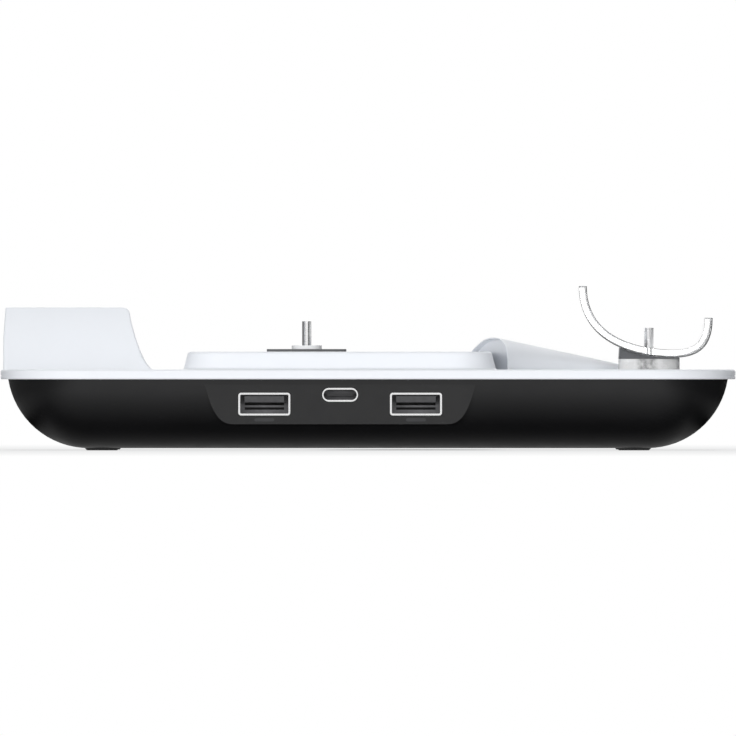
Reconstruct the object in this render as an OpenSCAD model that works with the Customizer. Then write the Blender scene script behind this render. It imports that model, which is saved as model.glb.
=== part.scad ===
// Console cooling stand: a white deck with a console seat, a back rest and a wedge hood moulded in it,
// a clear controller cradle, a black tray with the ports, and a cooling fan inside.
// The side with the ports faces -Y. Up is +Z. The origin is on the table under the middle of the deck.

/* [Deck and tray] */
// Width of the deck
deck_w = 185; // [180:1:225]
// Depth of the deck
deck_d = 131; // [128:1:160]
// Thickness of the deck
deck_t = 2.45; // [2.2:0.05:3]
// Rounding of the deck's top edge
edge_r = 0.6; // [0.3:0.1:0.9]
// Height of the tray's rim above the table
rim_z = 17.9; // [17.5:0.1:21.5]
// Radius of the tray's rounded sides
tray_r = 20.5; // [20:0.5:24]
// Overhang of the deck past the tray
overhang = 1.9; // [1:0.1:3]
// Wall thickness of the two mouldings
wall = 2.2; // [1.8:0.1:2.6]
// Depth of the deck's locating lip inside the tray
lip_h = 1.7; // [1.2:0.1:2]

/* [Feet and screws] */
// Diameter of a rubber foot
foot_d = 8.7; // [7:0.1:10]
// How far a foot stands out of the tray
foot_proud = 0.55; // [0.4:0.05:1.2]
// Depth of the recess that a foot is glued in
foot_recess = 1; // [0.6:0.1:1.2]
// Shank diameter of every screw
screw_d = 2.5; // [2:0.1:3]
// Head diameter of every screw
screw_head_d = 4.6; // [4:0.1:5]
// Head height of every screw
screw_head_h = 1.4; // [1:0.1:1.6]

/* [Console seat] */
// Width of the raised seat
seat_w = 76.6; // [76:0.2:90]
// Depth of the raised seat
seat_d = 100; // [94:1:110]
// Rise of the seat above the deck
seat_h = 4.5; // [4:0.1:7]
// Corner radius of the seat
seat_corner = 9.5; // [5:0.25:10]
// Middle of the seat, from the middle of the deck
seat_x = -7.1; // [-8:0.1:-6]
// Width of the grip pad
pad_w = 20; // [18:0.5:22]
// Length of the grip pad
pad_l = 84; // [70:1:90]
// Thickness of the grip pad
pad_t = 0.65; // [0.5:0.05:1]
// Middle of the pad and its plug, from the middle of the deck
console_x = -15.5; // [-17:0.1:-14]

/* [Plugs] */
// Broad side of a plug's shell
plug_w = 8.25; // [8:0.05:8.4]
// Thin side of a plug's shell
plug_t = 2.4; // [2.3:0.05:2.5]
// Wall of a plug's shell
plug_wall = 0.25; // [0.2:0.05:0.3]
// Bare length of the console plug above its skirt
console_plug_h = 6.1; // [5.5:0.1:6.8]
// Bare length of the cradle plug above the cradle's floor
cradle_plug_h = 5.5; // [5:0.1:6.8]
// Width of the skirt round the console plug
skirt_w = 7.6; // [6.5:0.1:9]
// Length of the skirt round the console plug
skirt_l = 13.6; // [12:0.2:15]
// Height of the skirt above the pad
skirt_h = 0.95; // [0.5:0.05:1.5]

/* [Back rest] */
// Height of the back rest above the deck
rest_h = 15.65; // [12:0.05:19]
// Width of the back rest at its top
rest_w = 30.5; // [25:0.1:34]
// Thickness of the back rest at its top
rest_t = 4.5; // [3.5:0.1:5.5]
// How far its rear face leans in at the top
rest_lean = 8.8; // [4:0.1:10]
// How far its front slope runs toward the front
rest_run = 47; // [35:1:55]

/* [Wedge hood] */
// Height of the hood above the deck
hood_h = 8.1; // [7:0.1:10]
// Width of the hood's high end, front to back
hood_span = 44; // [38:1:48]
// Wall of the hood
hood_wall = 1.6; // [1.2:0.1:2]

/* [Controller cradle] */
// Distance from the cradle's plug to the deck's right edge
cradle_edge = 21.4; // [20:0.1:24]
// Length of the cradle, front to back
cradle_l = 56; // [40:1:64]
// Thickness of the cradle
cradle_t = 2; // [1.6:0.1:2.4]
// Width of the collar that carries the cradle
collar_w = 15.4; // [14:0.1:17]
// Length of the collar, front to back
collar_l = 24; // [20:0.5:28]
// Height of the collar
collar_h = 2.65; // [2:0.05:3]

/* [Port panel] */
// Middle of the port panel, from the middle of the tray
panel_x = -7; // [-9:0.1:-5]
// Width of the port panel at its top
panel_w = 68.4; // [64:0.2:76]
// Height of the panel's top edge
panel_top_z = 16.6; // [16:0.1:17]
// Height of the panel's bottom edge
panel_low_z = 6.6; // [6:0.05:7]
// Distance from the panel's middle to each large port
usb_a_x = 19.05; // [16:0.05:22]
// Height of the large ports' middle
usb_a_z = 11.66; // [11:0.02:12]
// Width of a large port's shell
usb_a_w = 13.05; // [13:0.05:13.6]
// Height of a large port's shell
usb_a_h = 5.7; // [5.6:0.05:6]
// Rim width of a large port's shell
usb_a_rim = 0.46; // [0.3:0.02:0.65]
// Depth of a large port's shell
usb_a_depth = 14; // [12:0.2:15]
// Height of the small port's middle
usb_c_z = 14; // [13.8:0.05:14.3]
// Width of the small port's shell
usb_c_w = 9; // [8.9:0.02:9.2]
// Height of the small port's shell
usb_c_h = 3.45; // [3.2:0.05:3.5]
// Depth of the small port's shell
usb_c_depth = 7.5; // [7:0.1:9]

/* [Fan] */
// Side of the square fan
fan_w = 40; // [36:1:40]
// Thickness of the fan
fan_t = 10; // [8:0.5:10.5]
// Middle of the fan, from the middle of the deck
fan_x = 10.5; // [9:0.5:11]
// Middle of the fan, front to back
fan_y = 8; // [4:0.5:14]
// Number of fan blades
blades = 7; // [5:1:9]
// Gap between the blades' tips and the frame
tip_gap = 0.5; // [0.4:0.1:0.8]
// Diameter of the fan's shaft
shaft_d = 2; // [1.5:0.1:2.5]
// Radial clearance of the shaft in its bearing
shaft_fit = 0.03; // [0.02:0.01:0.08]

/* [Boards] */
// Thickness of every circuit board
board_t = 1.6; // [1:0.1:1.6]
// Width of the main board
board_w = 62; // [58:1:64]
// Depth of the main board
board_d = 29; // [26:1:32]
// Diameter of the leads inside
lead_d = 2.2; // [1.6:0.1:2.4]

/* [Hidden] */

$fn = 64;
eps = 0.01;
fit = 0.1;
deck_z = rim_z + deck_t;

// The tray's side is one arc that stands on the bottom; its centre is above the rim.
arc_z = foot_proud + tray_r;
function tray_reach(r, z) = sqrt(r * r - (arc_z - z) * (arc_z - z));
rim_reach = tray_reach(tray_r, rim_z);
axis_x = deck_w / 2 - overhang - rim_reach;
axis_y = deck_d / 2 - overhang - rim_reach;
floor_z = foot_proud + wall;

foot_x = axis_x - 3.35;
foot_y = axis_y - 3.35;
boss_x = axis_x - 12;
boss_y = axis_y - 6;
boss_r = 3.2;
boss_split_z = floor_z + 5.75;
bore_d = screw_d + 0.06;

seat_z = deck_z + seat_h;
seat_roof_z = seat_z - wall;
seat_draft = 0.9;
seat_ax = seat_w / 2 - seat_corner;
seat_ay = seat_d / 2 - seat_corner;

skirt_z = seat_z + pad_t + skirt_h;
skirt_flange_t = 1.5;
skirt_flange = 1.6;
console_board_z = seat_roof_z - skirt_flange_t;
console_board_w = 13;
console_board_l = 30;
console_screw_y = 12;

cradle_x = deck_w / 2 - cradle_edge;
collar_z = deck_z + collar_h;
spigot_in = 2;
spigot_down = 1;
cradle_board_z = rim_z - spigot_down;
cradle_screw_y = 8;
plug_base_w = 3.8;
plug_base_l = 10;

panel_y = -(axis_y + tray_reach(tray_r, panel_top_z));
panel_proud = 0.25;
port_y = panel_y - panel_proud;
panel_wall = 1.8;

board_z = usb_a_z - usb_a_h / 2;
board_y = -(axis_y + 11.4);
board_post_x = board_w / 2 - 4;
board_post_front = board_d - 4;
board_post_rear = 10.5;
riser_t = 1;
riser_w = 10.5;
riser_z = usb_c_z - usb_c_h / 2 - riser_t;
riser_front = 19;

fan_z = floor_z + 2;
fan_bore_r = fan_w / 2 - 0.9;
fan_hole = fan_w * 0.4;
fan_hub_r = 10.5;
vent_r = 15.5;
vent_pitch = 4.4;
vent_w = 2.2;

socket_w = 7;
socket_d = 5;
socket_h = 4.2;
socket_y = board_y + board_d - socket_d - 1;
socket_mid_z = board_z + socket_h / 2;

// Plain 2D shapes
module round_rect(w, h, r) {
    square([w - 2 * r, h], center = true);
    square([w, h - 2 * r], center = true);
    for (sx = [-1, 1], sy = [-1, 1])
        translate([sx * (w / 2 - r), sy * (h / 2 - r)])
            circle(r = r);
}

module stadium(w, l) {
    square([w, l - w], center = true);
    for (s = [-1, 1])
        translate([0, s * (l - w) / 2])
            circle(d = w);
}

module bar(w, l, h) {
    linear_extrude(h)
        stadium(w, l);
}

// A slab with round corners. The children are its edge section, drawn outward from the corner axis.
module slab(ax, ay, z, h) {
    for (q = [0:3])
        translate([(q == 0 || q == 3 ? 1 : -1) * ax, (q < 2 ? 1 : -1) * ay, 0])
            rotate(90 * q)
                rotate_extrude(angle = 90)
                    children();
    for (s = [0, 1])
        mirror([0, s, 0])
            translate([-ax, ay, 0])
                rotate([90, 0, 90])
                    linear_extrude(2 * ax)
                        children();
    for (s = [0, 1])
        mirror([s, 0, 0])
            translate([ax, ay, 0])
                rotate([90, 0, 0])
                    linear_extrude(2 * ay)
                        children();
    translate([-ax, -ay, z])
        cube([2 * ax, 2 * ay, h]);
}

module plain_slab(ax, ay, r, z, h) {
    slab(ax, ay, z, h)
        translate([0, z])
            square([r, h]);
}

// Solid of the tray's form with side radius r, cut off at height top
module tray_form(r, top) {
    slab(axis_x, axis_y, arc_z - r, top - arc_z + r)
        intersection() {
            translate([0, arc_z])
                circle(r = r, $fn = 128);
            translate([0, arc_z - r])
                square([r, top - arc_z + r]);
        }
}

// Curves
function bez(p, t) =
    pow(1 - t, 3) * p[0] + 3 * t * pow(1 - t, 2) * p[1] + 3 * t * t * (1 - t) * p[2] + pow(t, 3) * p[3];
function slope(p, t) =
    pow(1 - t, 2) * (p[1] - p[0]) + 2 * t * (1 - t) * (p[2] - p[1]) + t * t * (p[3] - p[2]);
function unit(v) = v / norm(v);
function left_of(v) = [-v[1], v[0]];
function curve(p, n, off = 0) =
    [for (k = [0:n]) bez(p, k / n) + off * left_of(unit(slope(p, k / n)))];
function reversed(a) = [for (k = [len(a) - 1:-1:0]) a[k]];

// Base tray
module panel_outline(inset) {
    half = panel_w / 2 - inset;
    low = panel_low_z + inset;
    top = rim_z - 0.9 + inset;
    side = curve([[half, top], [half - 1.4, low + 6], [half - 2.6, low - 0.2], [half - 7.4, low]], 12);
    polygon(concat(side, [for (p = reversed(side)) [-p[0], p[1]]]));
}

module panel_block(inset, y_out, y_in) {
    translate([panel_x, y_in, 0])
        rotate([90, 0, 0])
            linear_extrude(y_in - y_out)
                panel_outline(inset);
}

module port_cut(x, z, w, h, r) {
    translate([x, panel_y - 1, z])
        rotate([-90, 0, 0])
            linear_extrude(panel_wall + 2)
                round_rect(w + 2 * fit, h + 2 * fit, r);
}

module vent_slots(z, h) {
    for (k = [-3:3])
        translate([fan_x + k * vent_pitch, fan_y, z])
            bar(vent_w, 2 * sqrt(vent_r * vent_r - pow(k * vent_pitch, 2)) + vent_w, h);
}

module post(x, y, r, z0, z1, bore) {
    translate([x, y, z0])
        difference() {
            cylinder(r = r, h = z1 - z0);
            translate([0, 0, -eps])
                cylinder(d = bore, h = z1 - z0 + 2 * eps);
        }
}

module at_board_posts() {
    for (sx = [-1, 1], dy = [board_post_rear, board_post_front])
        translate([panel_x + sx * board_post_x, board_y + dy, 0])
            children();
}

module at_bosses() {
    for (sx = [-1, 1], sy = [-1, 1])
        translate([sx * boss_x, sy * boss_y, 0])
            children();
}

module at_fan_holes() {
    for (sx = [-1, 1], sy = [-1, 1])
        translate([fan_x + sx * fan_hole, fan_y + sy * fan_hole, 0])
            children();
}

module base_shell() {
    color("#1d1d20")
        difference() {
            union() {
                difference() {
                    union() {
                        tray_form(tray_r, rim_z);
                        panel_block(0, panel_y, -axis_y);
                    }
                    tray_form(tray_r - wall, rim_z + 1);
                    panel_block(panel_wall, panel_y + panel_wall, -axis_y);
                }
                at_board_posts()
                    translate([0, 0, floor_z - wall / 2])
                        cylinder(r = 2.6, h = board_z - board_t - floor_z + wall / 2);
                at_bosses()
                    translate([0, 0, floor_z - wall / 2])
                        cylinder(r = boss_r, h = boss_split_z - floor_z + wall / 2);
                at_fan_holes()
                    translate([0, 0, floor_z - wall / 2])
                        cylinder(r = 2.9, h = fan_z - floor_z + wall / 2);
            }
            at_board_posts()
                translate([0, 0, floor_z + 0.6])
                    cylinder(d = bore_d, h = rim_z);
            at_bosses() {
                translate([0, 0, -1])
                    cylinder(d = screw_d + 0.5, h = rim_z);
                translate([0, 0, -1])
                    cylinder(d = screw_head_d + 0.6, h = foot_proud + screw_head_h + 1.3);
            }
            at_fan_holes()
                translate([0, 0, floor_z - wall + 0.8])
                    cylinder(d = bore_d, h = rim_z);
            for (sx = [-1, 1], sy = [-1, 1])
                translate([sx * foot_x, sy * foot_y, -1])
                    cylinder(d = foot_d + fit, h = foot_proud + foot_recess + 1);
            port_cut(panel_x - usb_a_x, usb_a_z, usb_a_w, usb_a_h, 0.7);
            port_cut(panel_x + usb_a_x, usb_a_z, usb_a_w, usb_a_h, 0.7);
            port_cut(panel_x, usb_c_z, usb_c_w, usb_c_h, (usb_c_h + 2 * fit) / 2 - eps);
            vent_slots(-1, floor_z + 2);
        }
}

// Deck edge: round at the top, with a fine groove round it
module deck_section() {
    reach = rim_reach + overhang;
    groove = 0.22;
    difference() {
        union() {
            translate([0, rim_z])
                square([reach, deck_t - edge_r]);
            translate([0, rim_z])
                square([reach - edge_r, deck_t]);
            translate([reach - edge_r, deck_z - edge_r])
                circle(r = edge_r);
        }
        translate([reach - groove, rim_z + 0.75])
            square([1, groove]);
    }
}

module seat_section() {
    edge = 0.8;
    polygon([
        [0, deck_z - 0.5],
        [seat_corner + seat_draft, deck_z - 0.5],
        [seat_corner + seat_draft, deck_z],
        [seat_corner + 0.1, seat_z - edge],
        [seat_corner - 0.25, seat_z - 0.25],
        [seat_corner - edge, seat_z],
        [0, seat_z]]);
}

// Back rest: what is inside both its rear view and its side view
rest_left = -deck_w / 2 + 0.6;
rest_right = rest_left + 0.5 + rest_w;
rest_rear = -axis_y + 1.3;
rest_z = deck_z + rest_h;
rest_top_y = rest_rear + rest_lean + 0.5 + rest_t;
function rest_view(i) =
    concat(
        [[rest_left + i, rim_z], [rest_left + i, deck_z + rest_h / 2], [rest_left + 0.5 + i, rest_z - i]],
        i > 0 ?
        [[rest_right - i, rest_z - i], [rest_right + 2 - i, deck_z + rest_h / 2],
            [rest_right + 4.2 - i, deck_z + 3], [rest_right + 4.6 - i, rim_z]] :
        concat(
            curve([[rest_right - 1, rest_z], [rest_right - 0.1, rest_z], [rest_right + 0.6, rest_z - 0.5],
                [rest_right + 0.85, rest_z - 1.5]], 5),
            curve([[rest_right + 0.85, rest_z - 1.55], [rest_right + 1, deck_z + rest_h * 0.77],
                [rest_right + 4.05, deck_z + 0.25], [rest_right + 6.7, deck_z]], 10),
            [[rest_right + 6.7, rim_z]]));
function rest_slope(i) =
    curve([[rest_top_y, rest_z], [rest_top_y + 3, rest_z - rest_h * 0.72],
        [rest_top_y + rest_run * 0.4, deck_z + 0.3], [rest_top_y + rest_run, deck_z]], 14, -i);
function rest_back(i) =
    curve([[rest_rear, deck_z], [rest_rear + rest_lean * 0.36, deck_z + rest_h * 0.28],
        [rest_rear + rest_lean * 0.6, deck_z + rest_h * 0.68], [rest_rear + rest_lean, rest_z]], 10, -i);

module rest_form(i) {
    intersection() {
        rotate([90, 0, 0])
            translate([0, 0, -deck_d])
                linear_extrude(2 * deck_d)
                    polygon(rest_view(i));
        rotate([90, 0, 90])
            translate([0, 0, -deck_w])
                linear_extrude(2 * deck_w)
                    difference() {
                        polygon(concat(
                            [[rest_rear + i, rim_z]],
                            rest_back(i),
                            rest_slope(i),
                            [[rest_top_y + rest_run, rim_z]]));
                        if (i > 0)
                            translate([-deck_d, rest_z - i])
                                square([2 * deck_d, deck_d]);
                    }
    }
}

// Wedge hood: arches that shrink from the high end, beside the seat, to the tail behind the cradle
head_near = [seat_x + seat_w / 2 + 4.1, fan_y - 25];
head_far = head_near + [-12.3, hood_span];
tail_near = [cradle_x - 3.1, head_near[1] + 36.5];
tail_far = [cradle_x - 3.1, head_near[1] + 40.5];
crown = 0.32;
function arch(q) = q < crown ? pow(1 - pow(1 - q / crown, 3), 1 / 3) : cos(90 * (q - crown) / (1 - crown));
function mix(a, b, t) = a + (b - a) * t;
function hood_ring(s, i, n) =
    let (near = mix(head_near, tail_near, s), far = mix(head_far, tail_far, s),
        d = unit(far - near), a = near + i * d, b = far - i * d, h = mix(hood_h, 0.5, s) - i)
    concat(
        [[a[0], a[1], rim_z + 0.2]],
        [for (k = [0:n]) let (q = pow(k / n, 1.4)) [
            mix(a, b, q)[0], mix(a, b, q)[1], deck_z + max(h * arch(q), -0.2)]],
        [[b[0], b[1], rim_z + 0.2]]);

module hood_form(s0, s1, i) {
    steps = 8;
    across = 12;
    n = across + 3;
    rings = [for (k = [0:steps]) hood_ring(mix(s0, s1, k / steps), i, across)];
    sides = [for (k = [0:steps - 1], j = [0:n - 1]) let (j2 = (j + 1) % n)
        [k * n + j, k * n + j2, (k + 1) * n + j2, (k + 1) * n + j]];
    polyhedron(
        points = [for (r = rings) each r],
        faces = concat([[for (j = [n - 1:-1:0]) j]], sides, [[for (j = [0:n - 1]) steps * n + j]]));
}

// Hole in the deck that opens the hood's hollow to the tray, clear of the hood's walls and the seat
module hood_hole() {
    x0 = head_near[0] + 1.5;
    near = head_near[1] + 12;
    far = head_far[1] - 6;
    x1 = x0 + (tail_near[0] - x0) * 0.5;
    translate([0, 0, rim_z - 1])
        linear_extrude(deck_t + 1)
            polygon([[x0, near], [x0, far], [x1, far], [x1, near + 14]]);
}

module top_cover() {
    lip_out = tray_reach(tray_r - wall, rim_z - lip_h) - 0.3;
    color("#f4f5f6") {
        difference() {
            union() {
                slab(axis_x, axis_y, rim_z, deck_t)
                    deck_section();
                difference() {
                    plain_slab(axis_x, axis_y, lip_out, rim_z - lip_h, lip_h + eps);
                    plain_slab(axis_x, axis_y, lip_out - 1.3, rim_z - lip_h - 1, lip_h + 2);
                }
                translate([seat_x, 0, 0])
                    slab(seat_ax, seat_ay, deck_z - 0.5, seat_h + 0.5)
                        seat_section();
                rest_form(0);
                difference() {
                    hood_form(0, 1, 0);
                    hood_form(0.05, 0.72, hood_wall);
                }
            }
            translate([seat_x, 0, 0])
                plain_slab(seat_ax, seat_ay, seat_corner - wall, rim_z - 1, seat_roof_z - rim_z + 1);
            rest_form(wall);
            hood_hole();
            vent_slots(seat_roof_z - 1, wall + 2);
            translate([console_x, 0, seat_roof_z - 1])
                bar(skirt_w + 2 * fit, skirt_l + 2 * fit, wall + 2);
            translate([cradle_x, 0, rim_z - 1])
                linear_extrude(deck_t + 2)
                    round_rect(collar_w - 2 * spigot_in + 2 * fit, collar_l - 2 * spigot_in + 2 * fit, 1.2);
        }
        at_bosses()
            post(0, 0, boss_r, boss_split_z, rim_z + eps, bore_d);
        for (s = [-1, 1])
            post(console_x, s * console_screw_y, 2.4, console_board_z, seat_roof_z + eps, bore_d);
    }
}

// Feet and screws
module foot(sx, sy) {
    color("#2b2b2d")
        translate([sx * foot_x, sy * foot_y, 0]) {
            cylinder(r1 = foot_d / 2 - 0.55, r2 = foot_d / 2, h = foot_proud);
            translate([0, 0, foot_proud])
                cylinder(d = foot_d, h = foot_recess);
        }
}

// A screw that points up, with the underside of its head at the origin
module screw(length) {
    color("#9a9da1")
        difference() {
            union() {
                cylinder(d = screw_d, h = length);
                translate([0, 0, -screw_head_h])
                    cylinder(d = screw_head_d, h = screw_head_h);
            }
            for (a = [0, 90])
                rotate(a)
                    translate([-1.3, -0.3, -screw_head_h - 1])
                        cube([2.6, 0.6, 1.8]);
        }
}

module screw_down(length) {
    rotate([180, 0, 0])
        screw(length);
}

module cover_screws() {
    at_bosses()
        translate([0, 0, foot_proud + screw_head_h + 0.3])
            screw(boss_split_z + 5 - foot_proud - screw_head_h);
}

// Plug parts stand upright, thin side across the stand
module plug_shell(z0, z1) {
    color("#c9ccd0")
        translate([0, 0, z0])
            difference() {
                bar(plug_t, plug_w, z1 - z0);
                translate([0, 0, -eps])
                    bar(plug_t - 2 * plug_wall, plug_w - 2 * plug_wall, z1 - z0 + 2 * eps);
            }
}

module plug_core(z0, z1) {
    color("#2a2c30")
        translate([0, 0, z0])
            difference() {
                bar(plug_t - 2 * plug_wall, plug_w - 2 * plug_wall, z1 - z0 - 0.3);
                translate([-0.45, -plug_w / 2 + 0.85, z1 - z0 - 5.2])
                    cube([0.9, plug_w - 1.7, 6]);
            }
}

module plug_board(z, w, l, screw_y) {
    color("#1f6b3c")
        difference() {
            translate([-w / 2, -l / 2, z - board_t])
                cube([w, l, board_t]);
            for (s = [-1, 1])
                translate([0, s * screw_y, z - board_t - 1])
                    cylinder(d = screw_d + 0.4, h = board_t + 2);
        }
}

// Console plug and pad
module console_pad() {
    color("#3a3b3e")
        translate([console_x, 0, seat_z])
            difference() {
                linear_extrude(pad_t)
                    round_rect(pad_w, pad_l, 2);
                translate([0, 0, -1])
                    bar(skirt_w + 2 * fit, skirt_l + 2 * fit, pad_t + 2);
            }
}

module console_plug_skirt() {
    color("#d5d7da")
        translate([console_x, 0, 0])
            difference() {
                union() {
                    translate([0, 0, console_board_z])
                        bar(skirt_w, skirt_l, skirt_z - console_board_z);
                    translate([0, 0, console_board_z])
                        bar(skirt_w + skirt_flange, skirt_l + skirt_flange, skirt_flange_t);
                }
                translate([0, 0, console_board_z - 1])
                    bar(plug_t + 0.04, plug_w + 0.04, skirt_z - console_board_z + 2);
            }
}

module console_plug_shell() {
    translate([console_x, 0, 0])
        plug_shell(console_board_z, skirt_z + console_plug_h);
}

module console_plug_core() {
    translate([console_x, 0, 0])
        plug_core(console_board_z, skirt_z + console_plug_h);
}

module console_plug_board() {
    translate([console_x, 0, 0])
        plug_board(console_board_z, console_board_w, console_board_l, console_screw_y);
}

module console_board_screws() {
    for (s = [-1, 1])
        translate([console_x, s * console_screw_y, console_board_z - board_t])
            screw(board_t + skirt_flange_t - 0.1);
}

// Controller cradle: a crescent section run front to back, with a saddle that meets the collar
crescent_low = 3.05;
crescent_left = [[-17.9, 21.05], [-17.9, 9.65], [-9.05, 3.85], [3.95, crescent_low]];
crescent_right = [[3.95, crescent_low], [11.45, 2.55], [15.85, 4.65], [15.85, 13.05]];

module crescent_section() {
    polygon(concat(
        curve(crescent_left, 14),
        curve(crescent_right, 12),
        reversed(curve(crescent_right, 12, cradle_t)),
        reversed(curve(crescent_left, 14, cradle_t))));
}

module saddle_section() {
    intersection() {
        polygon(concat(curve(crescent_left, 14, 0.4), curve(crescent_right, 12, 0.4),
            [[18, 0], [-18, 0]]));
        translate([-collar_w / 2, collar_h])
            square([collar_w, 12]);
    }
}

module cradle() {
    color("#e8eef2", 0.4)
        translate([cradle_x, 0, deck_z])
            difference() {
                union() {
                    translate([0, cradle_l / 2, 0])
                        rotate([90, 0, 0])
                            linear_extrude(cradle_l)
                                crescent_section();
                    translate([0, collar_l / 2, 0])
                        rotate([90, 0, 0])
                            linear_extrude(collar_l)
                                saddle_section();
                }
                translate([0, 0, -1])
                    bar(plug_t + 2 * fit, plug_w + 2 * fit, 12);
            }
}

module cradle_collar() {
    color("#b9bec4", 0.7)
        translate([cradle_x, 0, 0])
            difference() {
                union() {
                    translate([0, 0, deck_z])
                        linear_extrude(collar_h)
                            round_rect(collar_w, collar_l, 2);
                    translate([0, 0, cradle_board_z])
                        linear_extrude(deck_z - cradle_board_z + eps)
                            round_rect(collar_w - 2 * spigot_in, collar_l - 2 * spigot_in, 1.2);
                }
                translate([0, 0, cradle_board_z - 1])
                    bar(plug_base_w + 2 * fit, plug_base_l + 2 * fit, collar_z - cradle_board_z + 2);
                for (s = [-1, 1])
                    translate([0, s * cradle_screw_y, cradle_board_z - 1])
                        cylinder(d = bore_d, h = 5);
            }
}

module cradle_plug_base() {
    color("#26272a")
        translate([cradle_x, 0, cradle_board_z])
            difference() {
                bar(plug_base_w, plug_base_l, collar_z - cradle_board_z);
                translate([0, 0, -1])
                    bar(plug_t + 0.04, plug_w + 0.04, collar_z - cradle_board_z + 2);
            }
}

cradle_floor_z = deck_z + crescent_low + cradle_t;

module cradle_plug_shell() {
    translate([cradle_x, 0, 0])
        plug_shell(cradle_board_z, cradle_floor_z + cradle_plug_h);
}

module cradle_plug_core() {
    translate([cradle_x, 0, 0])
        plug_core(cradle_board_z, cradle_floor_z + cradle_plug_h);
}

module cradle_plug_board() {
    translate([cradle_x, 0, 0])
        plug_board(cradle_board_z, collar_w - 1, collar_l, cradle_screw_y);
}

module cradle_board_screws() {
    for (s = [-1, 1])
        translate([cradle_x, s * cradle_screw_y, cradle_board_z - board_t])
            screw(board_t + 3.5);
}

// Main board and what is on it
module main_board() {
    color("#1f6b3c")
        difference() {
            translate([panel_x - board_w / 2, board_y, board_z - board_t])
                cube([board_w, board_d, board_t]);
            at_board_posts()
                cylinder(d = screw_d + 0.4, h = rim_z);
        }
}

module main_board_screws() {
    at_board_posts()
        translate([0, 0, board_z])
            screw_down(board_z - floor_z - 1);
}

module usb_a_shell(x) {
    color("#d9dbde")
        translate([x, port_y, usb_a_z])
            rotate([-90, 0, 0])
                difference() {
                    linear_extrude(usb_a_depth)
                        round_rect(usb_a_w, usb_a_h, 0.7);
                    translate([0, 0, -1])
                        linear_extrude(usb_a_depth)
                            round_rect(usb_a_w - 2 * usb_a_rim, usb_a_h - 2 * usb_a_rim, 0.3);
                }
}

// Insulator of a large port: a rear block with two slits, and the tongue above them
module usb_a_tongue(x) {
    slit_h = 0.6;
    slit_w = 9.9;
    color("#3a3c40")
        translate([x, port_y, usb_a_z]) {
            difference() {
                translate([0, usb_a_depth - 3, 0])
                    rotate([-90, 0, 0])
                        linear_extrude(2)
                            round_rect(usb_a_w - 2 * usb_a_rim, usb_a_h - 2 * usb_a_rim, 0.3);
                for (z = [-1.42, -0.3])
                    translate([-slit_w / 2, usb_a_depth - 4, z])
                        cube([slit_w, 2, slit_h]);
            }
            translate([-5, 1, 0.44])
                cube([10, usb_a_depth - 4 + eps, 1.6]);
        }
}

module usb_c_shell() {
    color("#d9dbde")
        translate([panel_x, port_y, usb_c_z])
            rotate([-90, 0, 0])
                difference() {
                    linear_extrude(usb_c_depth)
                        rotate(90)
                            stadium(usb_c_h, usb_c_w);
                    translate([0, 0, -0.8])
                        linear_extrude(usb_c_depth)
                            rotate(90)
                                stadium(2.6, 8.36);
                }
}

module usb_c_tongue() {
    color("#2a2c30")
        translate([panel_x, port_y + usb_c_depth - 0.8, usb_c_z]) {
            rotate([90, 0, 0])
                linear_extrude(1)
                    rotate(90)
                        stadium(2.6, 8.36);
            translate([-3.3, -5.6, -0.35])
                cube([6.6, 5, 0.7]);
        }
}

module usb_c_board() {
    color("#1f6b3c")
        translate([panel_x - riser_w / 2, port_y + 3.2, riser_z])
            cube([riser_w, riser_front - 3.2, riser_t]);
}

module board_header() {
    color("#222326")
        translate([panel_x - 4.5, port_y + riser_front - 3.5, board_z])
            cube([9, 2.5, riser_z - board_z]);
}

module chip(x, y, w, l, h) {
    color("#2a2a2c")
        translate([panel_x + x - w / 2, board_y + y - l / 2, board_z])
            difference() {
                cube([w, l, h]);
                translate([1.2, 1.2, h - 0.1])
                    cylinder(d = 0.8, h = 1);
            }
}

module control_chip() {
    chip(-1, 16, 7, 7, 1);
}

module charge_chip() {
    chip(10, 15, 5, 5, 0.9);
}

module power_inductor() {
    color("#4a4b4e")
        translate([panel_x - 15, board_y + 13, board_z]) {
            linear_extrude(3)
                round_rect(7.5, 7.5, 1.2);
            translate([0, 0, 3])
                cylinder(d = 5.6, h = 0.8);
        }
}

module capacitor(x) {
    color("#8f969c")
        translate([panel_x + x, board_y + 13, board_z]) {
            cylinder(d = 6.3, h = 1);
            translate([0, 0, 1])
                cylinder(d = 5.9, h = 0.6);
            translate([0, 0, 1.6])
                cylinder(d = 6.3, h = 5.4);
        }
}

module lead_socket(x) {
    color("#ece8dc")
        translate([x - socket_w / 2, socket_y, board_z])
            difference() {
                cube([socket_w, socket_d, socket_h]);
                translate([0.8, 1, socket_h - 1])
                    cube([socket_w - 1.6, socket_d - 2, 2]);
            }
}

console_socket_x = panel_x - 10;
fan_socket_x = panel_x + 4;
cradle_socket_x = panel_x + 16;

// Leads inside the stand: a round lead along a cubic curve, with flat ends
function cross_unit(a, b) = unit(cross(a, b));

module lead(p, side) {
    rings = 22;
    facets = 8;
    frames = [for (k = [0:rings])
        let (t = k / rings, along = unit(slope(p, t)), u = cross_unit(along, side), v = cross(along, u))
        [bez(p, t), u, v]];
    points = [for (f = frames, a = [0:facets - 1])
        f[0] + lead_d / 2 * (cos(360 * a / facets) * f[1] + sin(360 * a / facets) * f[2])];
    sides = [for (k = [0:rings - 1], a = [0:facets - 1]) let (b = (a + 1) % facets)
        [k * facets + a, (k + 1) * facets + a, (k + 1) * facets + b, k * facets + b]];
    polyhedron(
        points = points,
        faces = concat(
            [[for (a = [0:facets - 1]) a]],
            sides,
            [[for (a = [facets - 1:-1:0]) rings * facets + a]]));
}

socket_face_y = socket_y + socket_d;

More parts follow.
